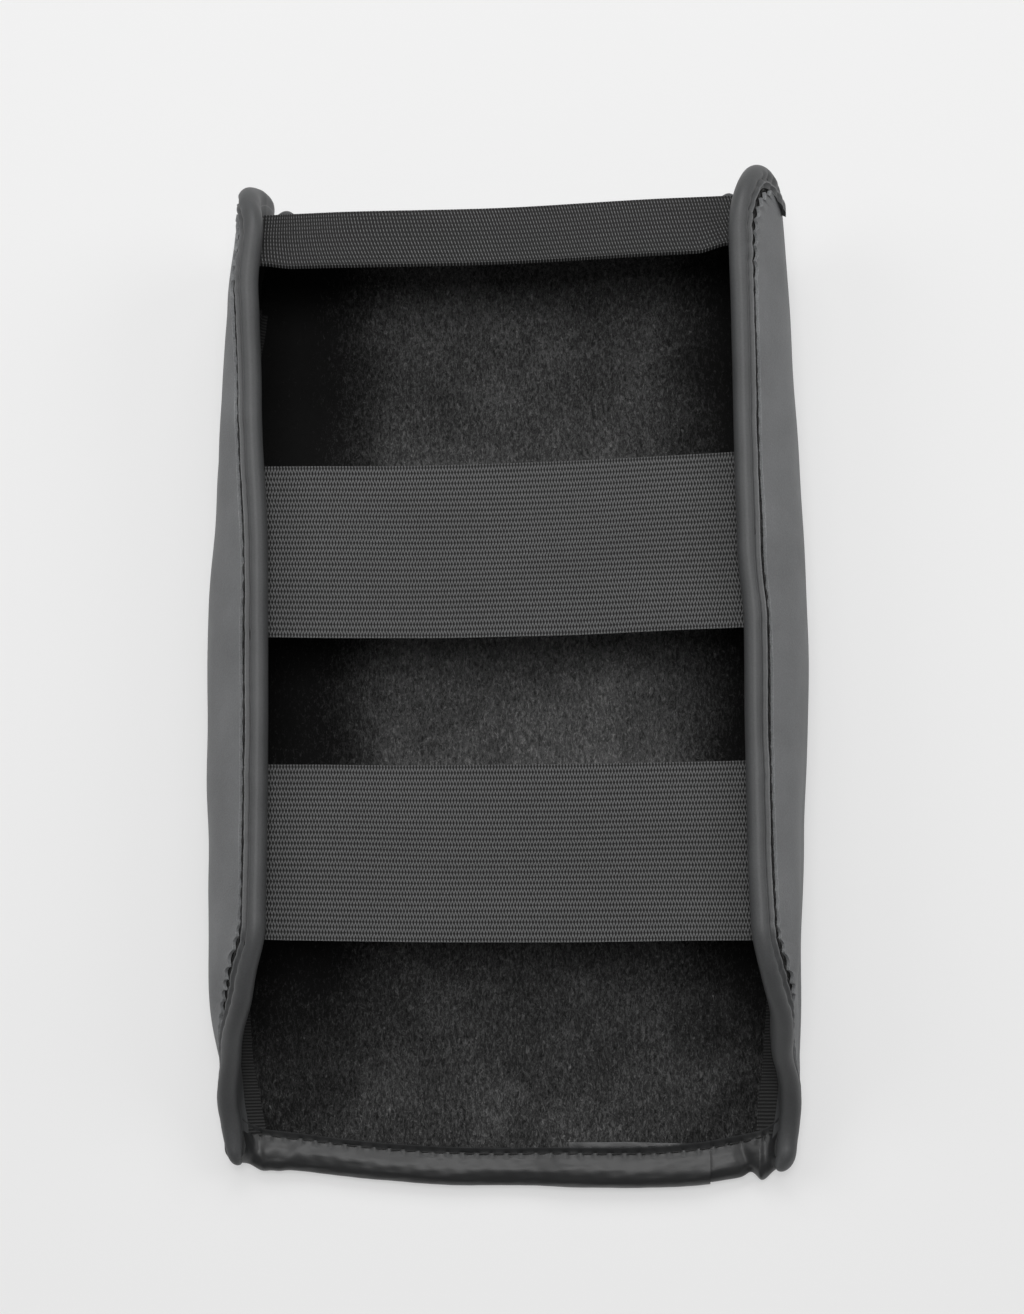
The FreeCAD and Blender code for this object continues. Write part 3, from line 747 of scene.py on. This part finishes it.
def toe_binding(name, node, first, last, layer, flap):
    """A length of toe binding: layer is how far it stands off what is below, flap its extra width."""
    across = np.linspace(first, last, round((last - first) / 0.55))[:, None]
    above = layer(across)
    grids = []
    for radius in (BOUND / 2, BOUND / 2 - BINDING):
        beyond, depth = (v[None, :] for v in binding_profile(radius, 19))
        inner = smoothstep(BOUND / 2, BOUND - 0.2, depth)
        out = smoothstep(-2.0, 2.0, beyond)
        beyond = beyond - flap(across) * smoothstep(-0.6 * FLAP_IN, -FLAP_IN, beyond) * inner
        nearest = (across - TOE_FIRST_STITCH + STITCH_PITCH / 2) % STITCH_PITCH - STITCH_PITCH / 2
        line = -FLAP_IN + STITCH_INSET
        holes = 0.55 * hump(0.0, 0.75, nearest) * hump(line, 0.75, beyond)
        ditch = 0.35 * hump(line, 0.9, beyond)
        lip = 0.35 * hump(-FLAP_IN, 0.6, beyond)
        ridge = toe_folds(across, beyond)
        soft = 0.3 * waver(across, beyond * 2, 26.0, 41) + 0.16 * waver(across, beyond * 3, 8.0, 42)
        crown = 0.5 * hump(-1.5, 2.4, beyond)
        fold = 0.6 * ridge * smoothstep(-8.5, -3.0, beyond)
        deeper = inner * (fold + soft + crown - holes - ditch + lip + above)
        further = out * (ridge + 0.5 * soft + 0.6 * above)
        grids.append(cover(across, toe_y(across) - beyond - further, depth + deeper))
    uv = grid_uv(across[:, 0], binding_profile(BOUND / 2, 19)[0])
    add_sheet(name, grids[0], grids[1], node, shaded_toe_leather, uv)


def end_wall_binding():
    """The binding along the top of the end wall, lumpy where it runs into the ears."""
    x = np.linspace(-END_WALL_HALF, END_WALL_HALF, 220)[:, None]
    grids = []
    for radius in (BOUND / 2, BOUND / 2 - BINDING):
        beyond, depth = (v[None, :] for v in binding_profile(radius))
        lumps = 2.6 * (hump(66.5, 3.5, x) + hump(-70.5, 4.0, x)) + 0.7 * hump(-50.0, 14.0, x)
        lumps = lumps + 0.3 * waver(x, beyond, 20.0, 51)
        along = END_WALL_TOP + beyond + 0.4 * lumps
        grids.append(end_wall(x, along, depth - lumps * smoothstep(-4.0, 1.0, beyond)))
    uv = grid_uv(x[:, 0], binding_profile(BOUND / 2)[0])
    add_sheet("end_binding", grids[0], grids[1], "end_wall_binding", rim_leather, uv)


TOE_END = float(seam_x(TOE_EDGE)) + TOE_REACH
TOE_FIRST_STITCH = -71.0


def overlap(across):
    """0 where the toe binding is single, 1 where its upper end lies over its lower end."""
    return smoothstep(4.0, 18.0, across)


def build_bindings():
    for name, side in (("left", -1.0), ("right", 1.0)):
        rim_binding(name, side)
    toe_binding("toe_binding_upper", "toe_binding_left", -TOE_END, TOE_JOINT,
                lambda across: 0.9 * overlap(across),
                lambda across: 0.0 * across)
    toe_binding("toe_binding_lower", "toe_binding_right", 16.0, TOE_END,
                lambda across: -0.15 * (across < TOE_JOINT),
                lambda across: 1.5 * (1 - smoothstep(30.0, TOE_JOINT, across)))
    end_wall_binding()


# ------------------------------------------------------------------ tapes and thread

def seam_tape(name, side):
    """Ribbed tape over an inside seam, mostly on the wall."""
    start = float(toe_y(seam_x(TOE_EDGE))) + FLAP_IN - 2.5
    y = np.linspace(start, BEND_START, 340)[:, None]
    edge = keyed(y, TAPE_EDGE_RIGHT) if side > 0 else keyed(y, TAPE_EDGE_LEFT)
    width = edge + np.linspace(0.0, TAPE_WIDTH, 30)[None, :]
    ribs = 0.12 * np.abs(np.sin(math.pi * y / TAPE_RIB)) + 0.12 * waver(y, width, 14.0, 61)
    near = cover(side * (seam_x(y) + width), y, LAMINATE)
    far = cover(side * (seam_x(y) + width), y, LAMINATE + 0.55 + ribs)
    uv = np.stack(np.broadcast_arrays(y, width), -1)
    add_sheet(name + "_tape", near, far, name + "_seam_tape", grosgrain, uv)


def capsule(start, end, radius, sag, count=7, around=8):
    """Vertices and faces of one stitch, bowed by sag away from its straight line."""
    start, end, up = (np.asarray(v, float) for v in (start, end, sag))
    along = (end - start) / np.linalg.norm(end - start)
    side = np.cross(along, up)
    side /= np.linalg.norm(side)
    top = np.cross(side, along)
    share = np.linspace(0.0, 1.0, count)
    centre = start + (end - start) * share[:, None] + up * np.sin(math.pi * share)[:, None]
    size = radius * np.sqrt(np.clip(1 - (2 * share - 1) ** 4, 0.02, 1.0))
    turn = np.linspace(0.0, 2 * math.pi, around, endpoint=False)
    ring = np.cos(turn)[:, None] * side + np.sin(turn)[:, None] * top
    verts = (centre[:, None, :] + size[:, None, None] * ring[None, :, :]).reshape(-1, 3)
    faces = []
    for i in range(count - 1):
        for j in range(around):
            k = (j + 1) % around
            faces.append((i * around + j, i * around + k, (i + 1) * around + k, (i + 1) * around + j))
    caps = [tuple(range(around - 1, -1, -1)), tuple((count - 1) * around + j for j in range(around))]
    return verts, faces + caps


def stitch_row(name, node, ends):
    """A run of separate stitches as one piece."""
    all_verts, all_faces, offset = [], [], 0
    for start, end, sag in ends:
        verts, faces = capsule(start, end, THREAD / 2, sag)
        all_verts.append(verts)
        all_faces += [tuple(i + offset for i in face) for face in faces]
        offset += len(verts)
    piece = make_object(name, np.concatenate(all_verts), all_faces, thread)
    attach(piece, COVER)
    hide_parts(node)


def build_sewing():
    for name, side in (("left", -1.0), ("right", 1.0)):
        seam_tape(name, side)
        path = rim_path(0.5)
        length = run_length(path)
        ends = []
        for begin in np.arange(3.0, length[-1] - 14.0, RIM_STITCH_PITCH):
            pair = []
            for place in (begin, begin + RIM_STITCH):
                y, reach, out_y, out_reach = (np.interp(place, length, v) for v in path)
                beyond = -FLAP_OUT - 0.45
                pair.append(relax(wall(side, y + beyond * out_y, reach + beyond * out_reach, 0.8)))
            inward = wall(side, y, reach, 0.5) - wall(side, y, reach, 1.0)
            ends.append((pair[0], pair[1], 0.25 * inward / np.linalg.norm(inward)))
        stitch_row(name + "_rim_thread", name + "_rim_stitching", ends)
    ends = []
    for across in toe_stitches(TOE_FIRST_STITCH, -TOE_FIRST_STITCH):
        above = float(overlap(across)) * (across < TOE_JOINT)
        pair = []
        for place in (across + 0.35, across + STITCH_PITCH - 0.75):
            y = toe_y(place) + FLAP_IN - STITCH_INSET
            pair.append(relax(cover(place, y, BOUND - 0.35 + above)))
        ends.append((pair[0], pair[1], (0.0, 0.0, 0.3)))
    stitch_row("toe_thread", "toe_stitching", ends)


# ------------------------------------------------------------------ elastic

def strap_surface(width, ribs, shape, first, last):
    """Both faces and the uv of a ribbed strap between two places along it, laid by shape."""
    x = np.linspace(first, last, 98)[:, None]
    rib = np.linspace(-SELVEDGE, ribs + SELVEDGE, ribs * 8 + 8)[None, :]
    across = width * ((rib + SELVEDGE) / (ribs + 2 * SELVEDGE) - 0.5)
    rise = 0.13 * np.abs(np.sin(math.pi * rib)) ** 0.7
    near = shape(x, across, -0.15 - rise)
    far = shape(x, across, 0.75 + rise)
    return near, far, grid_uv(x[:, 0], rib[0])


def flat_shape(place, level, bow):
    """Lays a wide strap across the cover: level, with a little slack, bowed towards the toe."""
    def shape(x, across, height):
        slack = 0.5 * np.cos(math.pi * x / (2 * SEWN_REACH))
        wander = 0.35 * waver(x, across, 60.0, 71)
        y = place + across + wander - bow * np.cos(math.pi * (x + 12.0) / (2 * SEWN_REACH))
        z = level + 0.5 + height - slack + 0.35 * waver(x, across, 30.0, 72)
        return np.stack(np.broadcast_arrays(x, y, z), -1)
    return shape


def tilted_shape(place, level):
    """Lays the end band between the ears: tilted, bowed, and curled up where it is caught."""
    def shape(x, across, height):
        sag = -1.0 * np.cos(math.pi * x / (2 * SEWN_REACH)) - 1.2
        caught = smoothstep(58.0, 68.0, np.abs(x)) * smoothstep(6.0, -10.0, across)
        curl = (2.0 + 0.6 * np.sign(x)) * caught
        bow = across + curl + sag * smoothstep(10.0, -10.0, across)
        y = place + bow * math.cos(BAND_TILT) - height * math.sin(BAND_TILT)
        z = level + bow * math.sin(BAND_TILT) + height * math.cos(BAND_TILT)
        return np.stack(np.broadcast_arrays(x, y, z), -1)
    return shape


def elastic_strap(name, width, ribs, shape, material):
    """A strap as a left and a right half, each from its middle out to its rim."""
    for half, sign in (("left", -1.0), ("right", 1.0)):
        first, last = sorted((0.0, sign * SEWN_REACH))
        near, far, uv = strap_surface(width, ribs, shape, first, last)
        piece = make_sheet(f"{name}_{half}", near, far, material, uv)
        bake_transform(piece)
        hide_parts(*([name, name + "_sewn_ends"] if sign < 0 else [name]))


def node_middle(node):
    low, high = (np.array(corner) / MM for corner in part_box(node))
    return (low + high) / 2


def build_elastic():
    for name, bow in (("upper_strap", 1.6), ("lower_strap", 0.9)):
        middle = node_middle(name)
        shape = flat_shape(middle[1] - 0.2, middle[2] - 0.7, bow)
        elastic_strap(name, STRAP_WIDTH, STRAP_RIBS, shape, strap_elastic)
    middle = node_middle("end_band")
    shape = tilted_shape(middle[1] - 1.2, middle[2])
    elastic_strap("end_band", BAND_WIDTH, BAND_RIBS, shape, band_elastic)


# ------------------------------------------------------------------ camera, floor and light

CAMERA_DISTANCE = 0.800
CAMERA_TARGET = (0.0, 0.0, 0.050)
CAMERA_ASIDE = math.radians(2.0)
CAMERA_BACK = math.radians(6.73)
CAMERA_ROLL = math.radians(-0.54)
CAMERA_LENS = 51.83
CAMERA_SENSOR = 24.0
CAMERA_SHIFT = (0.0058, 0.0106)


def build_camera():
    back = Vector((math.sin(CAMERA_ASIDE), -math.sin(CAMERA_BACK) * math.cos(CAMERA_ASIDE),
                   math.cos(CAMERA_BACK) * math.cos(CAMERA_ASIDE))).normalized()
    up = Vector((0, 1, 0))
    up = (up - up.dot(back) * back).normalized()
    right = up.cross(back)
    turned = Matrix((right, up, back)).transposed() @ Matrix.Rotation(CAMERA_ROLL, 3, "Z")
    data = bpy.data.cameras.new("camera")
    data.sensor_fit = "VERTICAL"
    data.sensor_height = CAMERA_SENSOR
    data.lens = CAMERA_LENS
    data.shift_x, data.shift_y = CAMERA_SHIFT
    camera = bpy.data.objects.new("camera", data)
    place = Vector(CAMERA_TARGET) + back * CAMERA_DISTANCE
    camera.matrix_world = Matrix.Translation(place) @ turned.to_4x4()
    bpy.context.scene.collection.objects.link(camera)
    bpy.context.scene.camera = camera


def area_light(name, place, target, size, power):
    data = bpy.data.lights.new(name, "AREA")
    data.shape = "RECTANGLE"
    data.size, data.size_y = size
    data.energy = power
    light = bpy.data.objects.new(name, data)
    light.location = place
    aim = Vector(target) - Vector(place)
    light.rotation_euler = aim.to_track_quat("-Z", "Y").to_euler()
    bpy.context.scene.collection.objects.link(light)


def build_studio():
    bpy.ops.mesh.primitive_plane_add(size=12.0, location=(0, 0, 0))
    floor = bpy.context.object
    floor.name = "floor"
    floor.data.materials.append(floor_material())
    world = bpy.data.worlds.new("studio")
    world.use_nodes = True
    world.node_tree.nodes["Background"].inputs["Color"].default_value = (1.0, 1.0, 1.0, 1.0)
    world.node_tree.nodes["Background"].inputs["Strength"].default_value = 0.18
    bpy.context.scene.world = world
    bpy.context.scene.view_settings.view_transform = "Standard"
    area_light("key", (0.0, 1.0, 1.05), (0.0, 0.0, 0.03), (1.0, 0.6), 8.0)
    area_light("overhead", (0.0, 0.15, 1.5), (0.0, 0.0, 0.0), (0.5, 0.5), 8.0)
    for name, side in (("left", -1), ("right", 1)):
        area_light(name + "_softbox", (0.95 * side, 0.4, 0.9), (0.0, 0.0, 0.03), (0.7, 0.7), 4.0)


build_camera()
build_studio()
build_laminate()
build_bindings()
build_sewing()
build_elastic()
